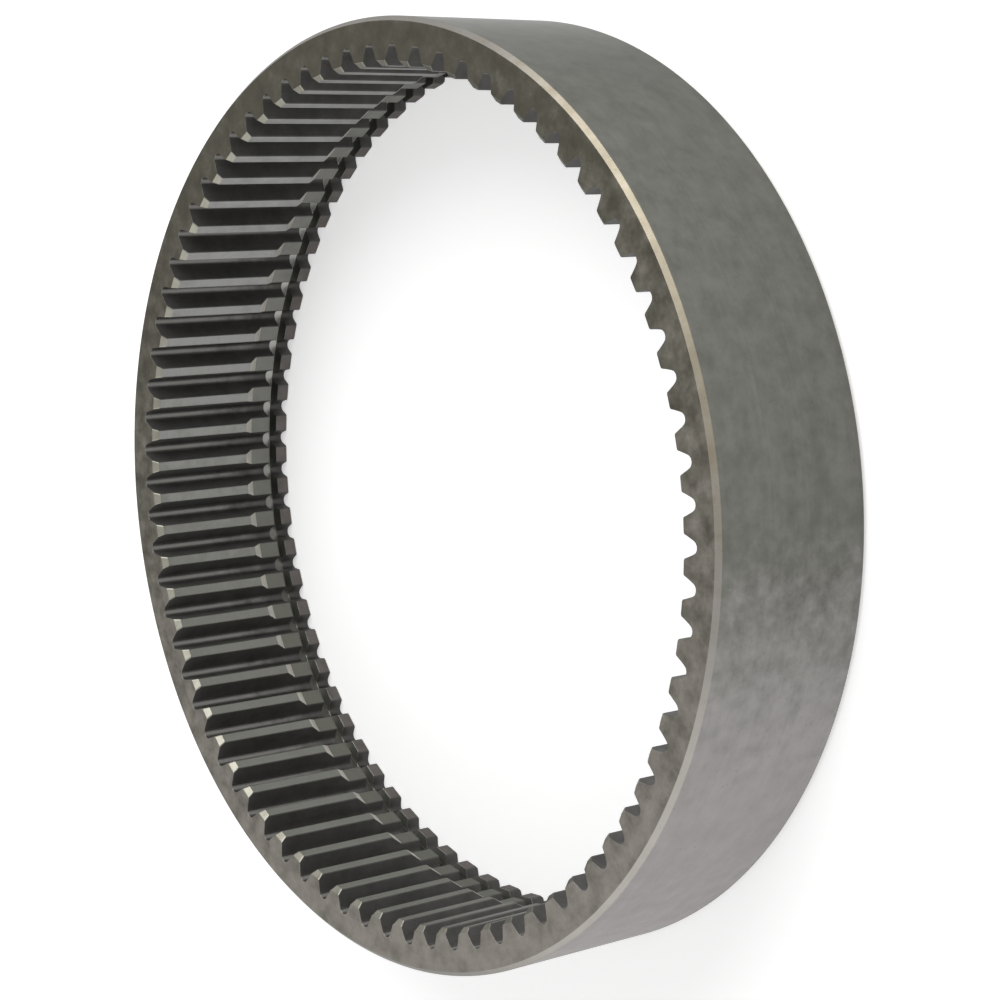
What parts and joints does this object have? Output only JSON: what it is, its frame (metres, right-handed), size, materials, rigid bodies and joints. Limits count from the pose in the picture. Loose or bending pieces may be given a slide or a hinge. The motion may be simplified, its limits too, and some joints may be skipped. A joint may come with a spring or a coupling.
{
  "type": "internal ring gear",
  "caption": "One-piece steel ring with straight internal gear teeth, turned-back tooth tips at one end for a carrier and a groove for a retaining ring.",
  "frame": {"origin": "centre of the end face on the grooved side, which is the lowest point of the part as it lies", "axes": "+Z along the gear's axis, from the grooved end towards the end with full-height teeth; +X through the middle of a tooth space"},
  "size_m": [0.204, 0.204, 0.04],
  "materials": {
    "steel": "oiled machined steel, dark grey, with fine turning marks and light brown staining on the end faces"
  },
  "bodies": {
    "root": {"ring_gear": "steel"}
  },
  "joints": []
}
